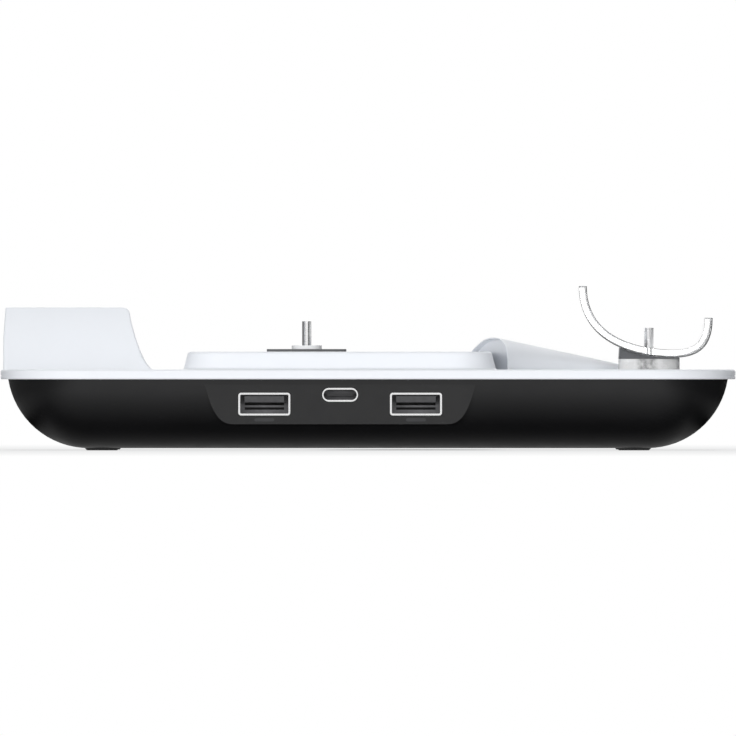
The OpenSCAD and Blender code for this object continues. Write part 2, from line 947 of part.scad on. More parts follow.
module console_lead() {
    color("#202124")
        lead([[console_socket_x, socket_face_y, socket_mid_z], [console_socket_x, socket_face_y + 12, socket_mid_z],
            [console_x, -5, console_board_z - 9], [console_x, -5, console_board_z - board_t]], [1, 0, 0]);
}

module fan_lead() {
    frame_y = fan_y - fan_w / 2;
    color("#202124")
        lead([[fan_socket_x, socket_face_y, socket_mid_z], [fan_socket_x, socket_face_y + 7, socket_mid_z],
            [fan_x - 8, frame_y - 7, fan_z + 4], [fan_x - 8, frame_y, fan_z + 4]], [0, 0, 1]);
}

module cradle_lead() {
    color("#202124")
        lead([[cradle_socket_x, socket_face_y, socket_mid_z], [cradle_socket_x, socket_face_y + 12, socket_mid_z],
            [cradle_x, -3, cradle_board_z - 22], [cradle_x, -3, cradle_board_z - board_t]], [1, -1, 0]);
}

// Fan
module fan_frame() {
    tube_r = shaft_d / 2 + 1.6;
    color("#222326")
        translate([fan_x, fan_y, fan_z]) {
            difference() {
                linear_extrude(fan_t)
                    round_rect(fan_w, fan_w, 2.5);
                translate([0, 0, -1])
                    cylinder(r = fan_bore_r, h = fan_t + 2, $fn = 96);
                for (sx = [-1, 1], sy = [-1, 1])
                    translate([sx * fan_hole, sy * fan_hole, -1])
                        cylinder(d = screw_d + 0.7, h = fan_t + 2);
            }
            for (a = [45, 135, 225, 315])
                rotate(a)
                    translate([fan_hub_r - 1, -1.25, 0])
                        cube([fan_bore_r - fan_hub_r + 1.5, 2.5, 1.6]);
            cylinder(r = fan_hub_r, h = 1.4);
            difference() {
                cylinder(r = tube_r, h = fan_t - 3);
                translate([0, 0, 1.4])
                    cylinder(r = tube_r - 0.8, h = fan_t);
            }
        }
}

module fan_bearing() {
    bush_r = shaft_d / 2 + 0.77;
    color("#b08d4c")
        translate([fan_x, fan_y, fan_z + 1.4])
            difference() {
                cylinder(r = bush_r, h = fan_t - 4.6);
                translate([0, 0, -1])
                    cylinder(r = shaft_d / 2 + shaft_fit, h = fan_t);
            }
}

module fan_stator() {
    color("#a8652c")
        translate([fan_x, fan_y, fan_z + 2])
            difference() {
                union() {
                    cylinder(r = 4.4, h = fan_t - 6);
                    for (a = [0:90:270])
                        rotate(a) {
                            translate([0, -1.4, 0.5])
                                cube([7, 2.8, fan_t - 7]);
                            intersection() {
                                cylinder(r = 7.9, h = fan_t - 6);
                                translate([6.4, -4.2, 0])
                                    cube([3, 8.4, fan_t - 6]);
                            }
                        }
                }
                translate([0, 0, -1])
                    cylinder(r = shaft_d / 2 + 1.63, h = fan_t);
            }
}

module fan_magnet() {
    color("#55585c")
        translate([fan_x, fan_y, fan_z + 2.4])
            difference() {
                cylinder(r = fan_hub_r - 1, h = fan_t - 4.6);
                translate([0, 0, -1])
                    cylinder(r = fan_hub_r - 2.1, h = fan_t);
            }
}

module fan_rotor() {
    top = fan_t - 0.6;
    color("#2c2d30")
        translate([fan_x, fan_y, fan_z]) {
            difference() {
                translate([0, 0, 2.2])
                    cylinder(r = fan_hub_r, h = top - 2.2);
                translate([0, 0, 1])
                    cylinder(r = fan_hub_r - 1, h = top - 2.6);
                translate([0, 0, 1])
                    cylinder(d = shaft_d, h = top - 1.4);
            }
            for (k = [0:blades - 1])
                rotate(k * 360 / blades)
                    intersection() {
                        difference() {
                            cylinder(r = fan_bore_r - tip_gap, h = top, $fn = 96);
                            cylinder(r = fan_hub_r - 0.4, h = 2 * top, center = true);
                        }
                        translate([0, 0, (top + 2.2) / 2])
                            rotate([38, 0, 0])
                                translate([fan_hub_r - 1, -0.5, -(top - 2.6) / 2])
                                    cube([fan_w, 1, top - 2.6]);
                    }
        }
}

module fan_shaft() {
    color("#c3c6ca")
        translate([fan_x, fan_y, fan_z + 1.7])
            cylinder(d = shaft_d, h = fan_t - 0.6 - 0.4 - 1.7);
}

module fan_screws() {
    at_fan_holes()
        translate([0, 0, fan_z + fan_t])
            screw_down(fan_t + 1.6);
}

base_shell();
top_cover();
foot(-1, -1);  // foot_rear_left
foot(1, -1);  // foot_rear_right
foot(-1, 1);  // foot_front_left
foot(1, 1);  // foot_front_right
cover_screws();
console_pad();
console_plug_skirt();
console_plug_shell();
console_plug_core();
console_plug_board();
console_board_screws();
cradle();
cradle_collar();
cradle_plug_base();
cradle_plug_shell();
cradle_plug_core();
cradle_plug_board();
cradle_board_screws();
main_board();
main_board_screws();
usb_a_shell(panel_x - usb_a_x);  // usb_a_left_shell
usb_a_tongue(panel_x - usb_a_x);  // usb_a_left_tongue
usb_a_shell(panel_x + usb_a_x);  // usb_a_right_shell
usb_a_tongue(panel_x + usb_a_x);  // usb_a_right_tongue
usb_c_shell();
usb_c_tongue();
usb_c_board();
board_header();
control_chip();
charge_chip();
power_inductor();
capacitor(20);  // capacitor_left
capacitor(-22);  // capacitor_right
lead_socket(console_socket_x);  // console_lead_socket
lead_socket(fan_socket_x);  // fan_lead_socket
lead_socket(cradle_socket_x);  // cradle_lead_socket
console_lead();
fan_lead();
cradle_lead();
fan_frame();
fan_bearing();
fan_stator();
fan_rotor();
fan_magnet();
fan_shaft();
fan_screws();
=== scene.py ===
"""Looks of the console cooling stand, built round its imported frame.

Shapes are worked out in millimetres and become metres when a mesh is made.
"""

import math

import bmesh
import bpy
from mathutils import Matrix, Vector


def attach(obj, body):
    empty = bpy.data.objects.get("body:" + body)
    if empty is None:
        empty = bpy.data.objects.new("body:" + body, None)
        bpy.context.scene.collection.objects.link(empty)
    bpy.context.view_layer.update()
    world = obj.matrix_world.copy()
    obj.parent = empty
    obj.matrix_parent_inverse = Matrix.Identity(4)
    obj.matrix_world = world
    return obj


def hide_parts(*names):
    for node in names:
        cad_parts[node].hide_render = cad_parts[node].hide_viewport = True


MM = 0.001
BODY = "stand"

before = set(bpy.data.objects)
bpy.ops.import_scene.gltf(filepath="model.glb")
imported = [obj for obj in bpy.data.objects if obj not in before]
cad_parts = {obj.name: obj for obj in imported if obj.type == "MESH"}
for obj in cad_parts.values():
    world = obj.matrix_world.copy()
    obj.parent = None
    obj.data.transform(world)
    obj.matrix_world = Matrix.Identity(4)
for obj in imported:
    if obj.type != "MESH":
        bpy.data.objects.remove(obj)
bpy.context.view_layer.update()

# Deck and tray
DECK_W = 185.0
DECK_D = 131.0
RIM_Z = 17.9
DECK_T = 2.45
DECK_Z = RIM_Z + DECK_T
TRAY_R = 20.5
ARC_Z = 0.55 + TRAY_R
OVERHANG = 1.9
WALL = 2.2
LIP_H = 1.7
RIM_REACH = math.sqrt(TRAY_R**2 - (ARC_Z - RIM_Z) ** 2)
AXIS_X = DECK_W / 2 - OVERHANG - RIM_REACH
AXIS_Y = DECK_D / 2 - OVERHANG - RIM_REACH

# Console seat
SEAT_X = -7.1
SEAT_W = 76.6
SEAT_D = 100.0
SEAT_H = 4.5
SEAT_CORNER = 9.5
SEAT_DRAFT = 0.9
SEAT_Z = DECK_Z + SEAT_H
SEAT_AX = SEAT_W / 2 - SEAT_CORNER
SEAT_AY = SEAT_D / 2 - SEAT_CORNER
SEAT_ROOF_Z = SEAT_Z - WALL

# Plugs and cradle
CONSOLE_X = -15.5
SKIRT_W = 7.6
SKIRT_L = 13.6
CRADLE_X = DECK_W / 2 - 21.4
CRADLE_L = 56.0
CRADLE_T = 2.0
COLLAR_W = 15.4
COLLAR_L = 24.0
COLLAR_H = 2.65
COLLAR_RIM = 1.9
COLLAR_CORNER = 1.2
PLUG_W = 8.25
PLUG_T = 2.4
HOLE_FIT = 0.1

# Back rest
REST_H = 15.65
REST_Z = DECK_Z + REST_H
REST_LEFT = -DECK_W / 2 + 0.6
REST_RIGHT = REST_LEFT + 0.5 + 30.5
REST_REAR = -AXIS_Y + 1.3
REST_T = 4.5
REST_LEAN = 8.8
REST_RUN = 47.0

# Wedge hood
FAN_X = 10.5
FAN_Y = 8.0
HOOD_H = 8.1
HOOD_WALL = 1.6
HEAD_NEAR = (SEAT_X + SEAT_W / 2 + 4.1, FAN_Y - 25)
HEAD_FAR = (HEAD_NEAR[0] - 12.3, HEAD_NEAR[1] + 44)
TAIL_NEAR = (CRADLE_X - 3.1, HEAD_NEAR[1] + 36.5)
TAIL_FAR = (CRADLE_X - 3.1, HEAD_NEAR[1] + 40.5)
HOOD_RUN = 40.0
CROWN = 0.32

# Slots for the air
VENT_R = 15.5
VENT_PITCH = 4.4
VENT_W = 2.2

# Screw posts under the cover, and how deep joined shapes reach into each other
POST_BORE = 1.28
POST_R = 3.2
POST_FOOT_Z = 8.5
POST_IN_X = 12
POST_IN_Y = 6
PLUG_POST_R = 2.4
PLUG_POST_H = 1.5
PLUG_POST_Y = 12
MERGE = 0.01

# Port panel
PANEL_X = -7.0
PANEL_Y = -63.35
PORT_Y = PANEL_Y - 0.25
USB_A_X = 19.05
USB_A_Z = 11.66
USB_A_DEPTH = 14.0
LABEL_Z = 7.72
LABEL_W = 5.0
LABEL_H = 0.85
LABEL_PROUD = 0.02

# Insulator of a large port, measured from the port's middle
INSERT_HALF_W = 6.065
INSERT_HALF_H = 2.39
INSERT_T = 2
SLIT_HALF_W = 4.95
SLIT_H = 0.6
SLIT_LOWS = (-1.42, -0.3)
TONGUE_HALF_W = 5
TONGUE_LOW = 0.44
TONGUE_TOP = 2.04
TONGUE_EDGE = 0.12


# Meshes


def mesh_object(name, points, faces):
    mesh = bpy.data.meshes.new(name)
    mesh.from_pydata([tuple(c * MM for c in p) for p in points], [], faces)
    bm = bmesh.new()
    bm.from_mesh(mesh)
    bmesh.ops.recalc_face_normals(bm, faces=bm.faces)
    bm.to_mesh(mesh)
    bm.free()
    piece = bpy.data.objects.new(name, mesh)
    bpy.context.scene.collection.objects.link(piece)
    return piece


def loft(name, rings):
    """A closed mesh through rings of equal length, with a flat cap at each end."""
    n = len(rings[0])
    last = (len(rings) - 1) * n
    points = [p for ring in rings for p in ring]
    faces = [tuple(range(n)), tuple(range(last, last + n))]
    for k in range(len(rings) - 1):
        for j in range(n):
            j2 = (j + 1) % n
            faces.append((k * n + j, k * n + j2, (k + 1) * n + j2, (k + 1) * n + j))
    return mesh_object(name, points, faces)


def round_ring(x0, x1, y0, y1, radii, z, steps=12):
    """A ring round a rectangle with round corners; radii start at the corner of x1 and y0."""
    corners = ((x1, y0, 1, -1, -90), (x1, y1, 1, 1, 0), (x0, y1, -1, 1, 90), (x0, y0, -1, -1, 180))
    ring = []
    for (x, y, sx, sy, start), r in zip(corners, radii):
        for k in range(steps + 1):
            a = math.radians(start + 90 * k / steps)
            ring.append((x - sx * r + r * math.cos(a), y - sy * r + r * math.sin(a), z))
    return ring


def slab(name, ax, ay, section, cx=0.0, steps=12):
    """A slab whose edge section is given as (distance from the corner axis, height) from the bottom up."""
    rings = [round_ring(cx - ax - r, cx + ax + r, -ay - r, ay + r, (r,) * 4, z, steps) for r, z in section]
    return loft(name, rings)


def arc(cx, cz, r, start, end, steps):
    """Points of an arc, with its angles in degrees."""
    angles = [math.radians(start + (end - start) * k / steps) for k in range(steps + 1)]
    return [(cx + r * math.cos(a), cz + r * math.sin(a)) for a in angles]


def stadium(cx, cy, w, length, steps=16):
    """Outline of a slot that runs front to back."""
    r = w / 2
    half = (length - w) / 2
    return arc(cx, cy + half, r, 0, 180, steps) + arc(cx, cy - half, r, 180, 360, steps)


def prism(name, outline, z0, z1):
    return loft(name, [[(x, y, z) for x, y in outline] for z in (z0, z1)])


def combine(target, operation, others):
    for other in others:
        step = target.modifiers.new(operation, "BOOLEAN")
        step.operation = operation
        step.solver = "EXACT"
        step.object = other
    apply_modifiers(target)
    for other in others:
        bpy.data.objects.remove(other)
    return target


def apply_modifiers(piece):
    bpy.context.view_layer.update()
    graph = bpy.context.evaluated_depsgraph_get()
    made = bpy.data.meshes.new_from_object(piece.evaluated_get(graph))
    piece.modifiers.clear()
    piece.data = made


def smooth(piece, angle=35):
    piece.data.shade_smooth()
    piece.data.set_sharp_from_angle(angle=math.radians(angle))
    step = piece.modifiers.new("even_normals", "WEIGHTED_NORMAL")
    step.keep_sharp = True
    step.weight = 100
    return piece


def place(piece, material, nodes=(), body=BODY):
    piece.data.materials.clear()
    piece.data.materials.append(material)
    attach(piece, body)
    if nodes:
        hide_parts(*nodes)
    return piece


# Curves


def bezier(p, t):
    w = ((1 - t) ** 3, 3 * t * (1 - t) ** 2, 3 * t * t * (1 - t), t**3)
    return tuple(sum(w[i] * p[i][c] for i in range(4)) for c in range(2))


def bezier_normal(p, t):
    w = ((1 - t) ** 2, 2 * t * (1 - t), t * t)
    dx, dy = (sum(w[i] * (p[i + 1][c] - p[i][c]) for i in range(3)) for c in range(2))
    length = math.hypot(dx, dy)
    return -dy / length, dx / length


def curve(p, n, off=0.0):
    """Points along a cubic curve, moved aside by off."""
    points = []
    for k in range(n + 1):
        t = k / n
        (x, y), (nx, ny) = bezier(p, t), bezier_normal(p, t)
        points.append((x + off * nx, y + off * ny))
    return points


def at_height(line, z):
    """The first coordinate of a line of (value, height) points at height z."""
    line = sorted(line, key=lambda p: p[1])
    if z <= line[0][1]:
        return line[0][0]
    for (v0, z0), (v1, z1) in zip(line, line[1:]):
        if z <= z1:
            return v0 + (v1 - v0) * (z - z0) / max(z1 - z0, 1e-9)
    return line[-1][0]


def mix(a, b, t):
    return a + (b - a) * t


def mix_point(a, b, t):
    return tuple(mix(u, v, t) for u, v in zip(a, b))


# Materials


def new_material(name):
    material = bpy.data.materials.new(name)
    material.use_nodes = True
    nodes = material.node_tree.nodes
    return material, nodes, material.node_tree.links, nodes["Principled BSDF"]


def bare_material(name):
    """A material without a shader yet."""
    material = bpy.data.materials.new(name)
    material.use_nodes = True
    nodes = material.node_tree.nodes
    nodes.clear()
    return material, nodes, material.node_tree.links


def object_place(nodes):
    return nodes.new("ShaderNodeTexCoord").outputs["Object"]


def object_axes(nodes, links):
    """The X, Y and Z coordinates of a place on the piece."""
    parts = nodes.new("ShaderNodeSeparateXYZ")
    links.new(object_place(nodes), parts.inputs[0])
    return parts.outputs


def noise(nodes, links, scale, detail=2.0):
    texture = nodes.new("ShaderNodeTexNoise")
    texture.inputs["Scale"].default_value = scale
    texture.inputs["Detail"].default_value = detail
    links.new(object_place(nodes), texture.inputs["Vector"])
    return texture.outputs["Fac"]


def spread(nodes, links, source, low, high):
    """Maps a noise to the range from low to high."""
    return ramp(nodes, links, source, 0.3, 0.7, low, high)


def math_node(nodes, links, operation, first, second=None):
    node = nodes.new("ShaderNodeMath")
    node.operation = operation
    for socket, value in zip(node.inputs, (first, second)):
        if isinstance(value, (int, float)):
            socket.default_value = value
        elif value is not None:
            links.new(value, socket)
    return node.outputs[0]


def ramp(nodes, links, source, start, end, low, high):
    node = nodes.new("ShaderNodeMapRange")
    for name, value in (("From Min", start), ("From Max", end), ("To Min", low), ("To Max", high)):
        node.inputs[name].default_value = value
    links.new(source, node.inputs["Value"])
    return node.outputs["Result"]


def blend_colour(nodes, links, factor, first, second):
    """Blends two colours; the first may be another node's output."""
    node = nodes.new("ShaderNodeMix")
    node.data_type = "RGBA"
    if isinstance(first, tuple):
        node.inputs["A"].default_value = (*first, 1)
    else:
        links.new(first, node.inputs["A"])
    node.inputs["B"].default_value = (*second, 1)
    links.new(factor, node.inputs["Factor"])
    return node.outputs["Result"]


def vary_gloss(nodes, links, shader, scale, detail, low, high):
    """Uneven roughness between low and high."""
    gloss = spread(nodes, links, noise(nodes, links, scale, detail), low, high)
    links.new(gloss, shader.inputs["Roughness"])


def add_bump(nodes, links, shader, height, distance):
    """Bump from a height between 0 and 1, with its distance in millimetres."""
    bump = nodes.new("ShaderNodeBump")
    bump.inputs["Distance"].default_value = distance * MM
    links.new(height, bump.inputs["Height"])
    links.new(bump.outputs["Normal"], shader.inputs["Normal"])


USUAL_MOTTLE = 0.04


def finish_material(
        name, colour, rough, grain_scale, grain_height, metallic=0.0, mottle=USUAL_MOTTLE):
    """A moulded, cast or drawn surface: uneven gloss, slight colour drift and a fine grain."""
    material, nodes, links, shader = new_material(name)
    shader.inputs["Metallic"].default_value = metallic
    drift = spread(nodes, links, noise(nodes, links, 45, 3), 0, 1)
    darker = tuple(c * (1 - mottle) for c in colour)
    lighter = tuple(min(c * (1 + mottle), 1) for c in colour)
    links.new(blend_colour(nodes, links, drift, darker, lighter), shader.inputs["Base Color"])
    vary_gloss(nodes, links, shader, 260, 4, rough * 0.88, rough * 1.12)
    add_bump(nodes, links, shader, noise(nodes, links, grain_scale, 3), grain_height)
    return material


def clear_material(name, first, second, rough):
    """Clear plastic whose tint drifts between two colours."""
    material, nodes, links, shader = new_material(name)
    shader.inputs["Transmission Weight"].default_value = 1.0
    shader.inputs["IOR"].default_value = 1.49
    drift = spread(nodes, links, noise(nodes, links, 30), 0, 1)
    links.new(blend_colour(nodes, links, drift, first, second), shader.inputs["Base Color"])
    vary_gloss(nodes, links, shader, 350, 3, rough, rough + 0.025)
    return material


def board_material():
    """Green solder mask over copper tracks."""
    material, nodes, links, shader = new_material("circuit_board")
    tracks = nodes.new("ShaderNodeTexBrick")
    tracks.inputs["Scale"].default_value = 220
    tracks.inputs["Mortar Size"].default_value = 0.06
    tracks.inputs["Color1"].default_value = (0.008, 0.11, 0.035, 1)
    tracks.inputs["Color2"].default_value = (0.01, 0.135, 0.045, 1)
    tracks.inputs["Mortar"].default_value = (0.02, 0.2, 0.07, 1)
    links.new(object_place(nodes), tracks.inputs["Vector"])
    links.new(tracks.outputs["Color"], shader.inputs["Base Color"])
    vary_gloss(nodes, links, shader, 300, 2, 0.28, 0.42)
    add_bump(nodes, links, shader, tracks.outputs["Fac"], 0.03)
    return material


def coil_material():
    """Enamelled copper wire, wound round upright cores."""
    material, nodes, links, shader = new_material("coil_copper")
    turns = nodes.new("ShaderNodeTexWave")
    turns.bands_direction = "Z"
    turns.inputs["Scale"].default_value = 900
    turns.inputs["Distortion"].default_value = 1.5
    links.new(object_place(nodes), turns.inputs["Vector"])
    colour = blend_colour(nodes, links, turns.outputs["Fac"], (0.28, 0.09, 0.03), (0.75, 0.31, 0.12))
    links.new(colour, shader.inputs["Base Color"])
    shader.inputs["Metallic"].default_value = 0.85
    vary_gloss(nodes, links, shader, 400, 2, 0.25, 0.4)
    add_bump(nodes, links, shader, turns.outputs["Fac"], 0.1)
    return material


# Colour, roughness, grain scale, grain height in millimetres, and metallic
FINISHES = {
    "white_plastic": ((0.84, 0.858, 0.89), 0.42, 1800, 0.006, 0),
    "black_plastic": ((0.008, 0.008, 0.0085), 0.34, 2600, 0.01, 0),
    "foot_rubber": ((0.03, 0.03, 0.031), 0.8, 1500, 0.05, 0),
    "screw_steel": ((0.55, 0.56, 0.57), 0.3, 2500, 0.006, 1),
    "pad_rubber": ((0.115, 0.116, 0.119), 0.7, 1200, 0.06, 0),
    "grey_plastic": ((0.92, 0.925, 0.935), 0.4, 1800, 0.006, 0),
    "plug_steel": ((0.93, 0.93, 0.935), 0.07, 3000, 0.002, 1),
    "dark_plastic": ((0.018, 0.018, 0.02), 0.45, 2400, 0.01, 0),
    "smoke_plastic": ((0.42, 0.43, 0.45), 0.25, 1800, 0.004, 0),
    "port_nickel": ((0.95, 0.95, 0.955), 0.22, 2500, 0.004, 1),
    "port_insert": ((0.04, 0.04, 0.042), 0.5, 2400, 0.01, 0),
    "inductor_ferrite": ((0.06, 0.06, 0.062), 0.6, 1400, 0.04, 0),
    "capacitor_can": ((0.6, 0.61, 0.63), 0.25, 2500, 0.004, 1),
    "socket_plastic": ((0.75, 0.72, 0.62), 0.5, 2000, 0.01, 0),
    "lead_sheath": ((0.015, 0.015, 0.016), 0.5, 1600, 0.02, 0),
    "fan_plastic": ((0.02, 0.02, 0.021), 0.42, 2200, 0.015, 0),
    "bearing_bronze": ((0.5, 0.3, 0.12), 0.35, 1200, 0.02, 1),
    "magnet_ferrite": ((0.1, 0.1, 0.105), 0.55, 1600, 0.03, 0),
}

# How far the colour drifts, where that isn't the usual share
MOTTLES = {
    "white_plastic": 0.008,
    "black_plastic": 0.1,
    "pad_rubber": 0.08,
    "grey_plastic": 0.01,
    "plug_steel": 0.02,
    "smoke_plastic": 0.02,
    "port_nickel": 0.02,
    "inductor_ferrite": 0.15,
    "fan_plastic": 0.08,
    "bearing_bronze": 0.1,
    "magnet_ferrite": 0.12,
}

MATERIALS = {
    "circuit_board": board_material(),
    "coil_copper": coil_material(),
    "clear_plastic": clear_material("clear_acrylic", (0.97, 0.98, 0.985), (0.985, 0.99, 0.99), 0.01),
}
for finish, values in FINISHES.items():
    MATERIALS[finish] = finish_material(finish, *values, MOTTLES.get(finish, USUAL_MOTTLE))

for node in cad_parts.values():
    for holder in node.material_slots:
        holder.material = MATERIALS[holder.material.name]


# White cover


def deck():
    reach = RIM_REACH + OVERHANG
    low = 0.2
    groove = 0.22
    groove_z = RIM_Z + 0.75
    edge = 0.6
    section = [(1, RIM_Z), (reach - low, RIM_Z), (reach, RIM_Z + low)]
    section += [(reach, groove_z), (reach - groove, groove_z)]
    section += [(reach - groove, groove_z + groove), (reach, groove_z + groove)]
    section += arc(reach - edge, DECK_Z - edge, edge, 0, 90, 8)
    section += [(1, DECK_Z)]
    return slab("white_cover", AXIS_X, AXIS_Y, section, steps=32)


def seat():
    foot = 0.7
    edge = 0.9
    low = SEAT_CORNER + SEAT_DRAFT
    section = [(1, DECK_Z - 0.5), (low + foot, DECK_Z - 0.5)]
    section += [(low + foot - x, z) for x, z in arc(0, DECK_Z + foot, foot, -88, -4, 8)]
    section += arc(SEAT_CORNER - edge + 0.1, SEAT_Z - edge, edge, 8, 90, 10)
    section += [(1, SEAT_Z)]
    return slab("seat", SEAT_AX, SEAT_AY, section, SEAT_X, steps=20)


def rest_sides(inset):
    """Lines of (place, height) of the back rest's left, right, rear and front faces."""
    left = [(REST_LEFT, DECK_Z), (REST_LEFT, DECK_Z + REST_H / 2), (REST_LEFT + 0.5, REST_Z)]
    right = curve(
        ((REST_RIGHT - 1, REST_Z), (REST_RIGHT - 0.1, REST_Z), (REST_RIGHT + 0.6, REST_Z - 0.5),
         (REST_RIGHT + 0.85, REST_Z - 1.5)), 12)
    right += curve(
        ((REST_RIGHT + 0.85, REST_Z - 1.55), (REST_RIGHT + 1, DECK_Z + REST_H * 0.77),
         (REST_RIGHT + 4.05, DECK_Z + 0.25), (REST_RIGHT + 6.7, DECK_Z)), 24)
    if inset:
        right = [(REST_RIGHT, REST_Z - inset), (REST_RIGHT + 2, DECK_Z + REST_H / 2),
                 (REST_RIGHT + 4.2, DECK_Z + 3), (REST_RIGHT + 4.6, RIM_Z)]
    rear = curve(
        ((REST_REAR, DECK_Z), (REST_REAR + REST_LEAN * 0.36, DECK_Z + REST_H * 0.28),
         (REST_REAR + REST_LEAN * 0.6, DECK_Z + REST_H * 0.68), (REST_REAR + REST_LEAN, REST_Z)),
        24, -inset)
    top = REST_REAR + REST_LEAN + 0.5 + REST_T
    front = curve(
        ((top, REST_Z), (top + 3, REST_Z - REST_H * 0.72), (top + REST_RUN * 0.4, DECK_Z + 0.3),
         (top + REST_RUN, DECK_Z)), 40, -inset)
    return [(x + inset, z) for x, z in left], [(x - inset, z) for x, z in right], rear, front


def rest(inset=0.0):
    left, right, rear, front = rest_sides(inset)
    top = REST_Z - inset
    edge = 0.3
    heights = sorted({round(z, 3) for _, z in front + right + rear if z < top - edge})
    heights += [top - edge + edge * math.sin(math.radians(a)) for a in range(0, 91, 10)]
    rings = []
    for z in [RIM_Z - 2 * inset, *heights]:
        rise = max(z - (top - edge), 0)
        pull = edge - math.sqrt(max(edge**2 - rise**2, 0))
        x0, x1 = at_height(left, z) + pull, at_height(right, z) - pull
        y0, y1 = at_height(rear, z) + pull, at_height(front, z) - pull
        radii = [min(r, 0.45 * (y1 - y0)) for r in (0.4, 3, 3, 0.6)]
        rings.append(round_ring(x0, x1, y0, y1, radii, z, 8))
    return loft("rest", rings)


def arch(q):
    if q < CROWN:
        return (1 - (1 - q / CROWN) ** 3) ** (1 / 3)
    return math.cos(math.pi / 2 * (q - CROWN) / (1 - CROWN))


def hood_ring(s, inset, across=48):
    near = Vector(mix_point(HEAD_NEAR, TAIL_NEAR, s))
    far = Vector(mix_point(HEAD_FAR, TAIL_FAR, s))
    along = (far - near).normalized()
    near, far = near + inset * along, far - inset * along
    height = mix(HOOD_H, 0.5, s) - inset
    foot_z = RIM_Z + 0.2
    ring = [(near.x, near.y, foot_z)]
    for j in range(across + 1):
        q = (j / across) ** 1.4
        p = near.lerp(far, q)
        ring.append((p.x, p.y, DECK_Z + max(height * arch(q), -0.2)))
    ring.append((far.x, far.y, foot_z))
    return ring


def hood_body(s0, s1, inset, edge=0.0, steps=30):
    """The hood between two shares of its run, drawn in by inset; edge rounds its first rim."""
    places = [(s0, inset)]
    if edge:
        turns = [math.radians(a) for a in range(0, 91, 15)]
        places = [
            (s0 + edge * (1 - math.cos(a)) / HOOD_RUN, inset + edge * (1 - math.sin(a))) for a in turns]
    start = places[-1][0]
    places += [(mix(start, s1, (k + 1) / steps), inset) for k in range(steps)]
    return loft("hood", [hood_ring(s, i) for s, i in places])


def hood():
    """The wedge hood; its high end is closed by a face set back a little from the rim."""
    setback = 0.035
    rim = 0.35
    body = hood_body(0, 1, 0, edge=0.15)
    hollow = hood_body(0.08, 0.72, HOOD_WALL)
    mouth = hood_body(-0.1, setback, rim)
    return combine(body, "DIFFERENCE", [hollow, mouth])


def hood_hole():
    """Opening in the deck under the hood's hollow."""
    x0 = HEAD_NEAR[0] + 1.5
    x1 = mix(x0, TAIL_NEAR[0], 0.5)
    near = HEAD_NEAR[1] + 12
    far = HEAD_FAR[1] - 6
    return prism("hood_hole", [(x0, near), (x1, near + 14), (x1, far), (x0, far)], RIM_Z - 1, DECK_Z)


def slot_cutters(z0, z1):
    made = []
    for k in range(-3, 4):
        length = 2 * math.sqrt(VENT_R**2 - (k * VENT_PITCH) ** 2) + VENT_W
        made.append(prism("slot", stadium(FAN_X + k * VENT_PITCH, FAN_Y, VENT_W, length), z0, z1))
    return made


def lip():
    """Band under the deck that sits inside the tray's wall."""
    fit, wall = 0.3, 1.3
    low = RIM_Z - LIP_H
    out = math.sqrt((TRAY_R - WALL) ** 2 - (ARC_Z - low) ** 2) - fit
    band = slab("lip", AXIS_X, AXIS_Y, [(out, low), (out, RIM_Z + MERGE)], steps=24)
    inner = slab("lip_in", AXIS_X, AXIS_Y, [(out - wall, low - 1), (out - wall, RIM_Z + 1)], steps=24)
    return combine(band, "DIFFERENCE", [inner])


def tube(x, y, outer, bore, z0, z1, steps=32):
    """An upright post with a bore."""
    rings = []
    for r, z in ((bore, z0), (outer, z0), (outer, z1), (bore, z1)):
        rings.append([(x + a, y + b, z) for a, b in arc(0, 0, r, 0, 360 * (steps - 1) / steps, steps - 1)])
    points = [p for ring in rings for p in ring]
    faces = []
    for k in range(4):
        for j in range(steps):
            j2, k2 = (j + 1) % steps, (k + 1) % 4
            faces.append((k * steps + j, k * steps + j2, k2 * steps + j2, k2 * steps + j))
    return mesh_object("post", points, faces)


def cover_posts():
    corners = [(sx * (AXIS_X - POST_IN_X), sy * (AXIS_Y - POST_IN_Y)) for sx in (-1, 1) for sy in (-1, 1)]
    posts = [tube(x, y, POST_R, POST_BORE, POST_FOOT_Z, RIM_Z + MERGE) for x, y in corners]
    low, top = SEAT_ROOF_Z - PLUG_POST_H, SEAT_ROOF_Z + MERGE
    posts += [tube(CONSOLE_X, s * PLUG_POST_Y, PLUG_POST_R, POST_BORE, low, top) for s in (-1, 1)]
    return posts


def cover():
    """The white moulding: deck, seat, back rest and hood in one."""
    body = combine(deck(), "UNION", [seat(), rest(), hood()])
    inner = SEAT_CORNER - WALL
    hollow = slab("hollow", SEAT_AX, SEAT_AY, [(inner, RIM_Z - 1), (inner, SEAT_ROOF_Z)], SEAT_X)
    plug_outline = stadium(CONSOLE_X, 0, SKIRT_W + 2 * HOLE_FIT, SKIRT_L + 2 * HOLE_FIT)
    plug_hole = prism("hole", plug_outline, SEAT_ROOF_Z - 1, SEAT_Z + 1)
    half_w, half_l = COLLAR_W / 2 - COLLAR_RIM, COLLAR_L / 2 - COLLAR_RIM
    ring = round_ring(CRADLE_X - half_w, CRADLE_X + half_w, -half_l, half_l, (COLLAR_CORNER,) * 4, 0)
    collar_hole = prism("hole", [(x, y) for x, y, _ in ring], RIM_Z - 1, DECK_Z + 1)
    combine(body, "DIFFERENCE", [hollow, rest(WALL), hood_hole(), plug_hole, collar_hole])
    combine(body, "DIFFERENCE", slot_cutters(SEAT_ROOF_Z - 1, SEAT_Z + 1))
    combine(body, "UNION", [lip(), *cover_posts()])
    place(smooth(body), MATERIALS["white_plastic"], ["top_cover"])


cover()


# Clear cradle and its saddle

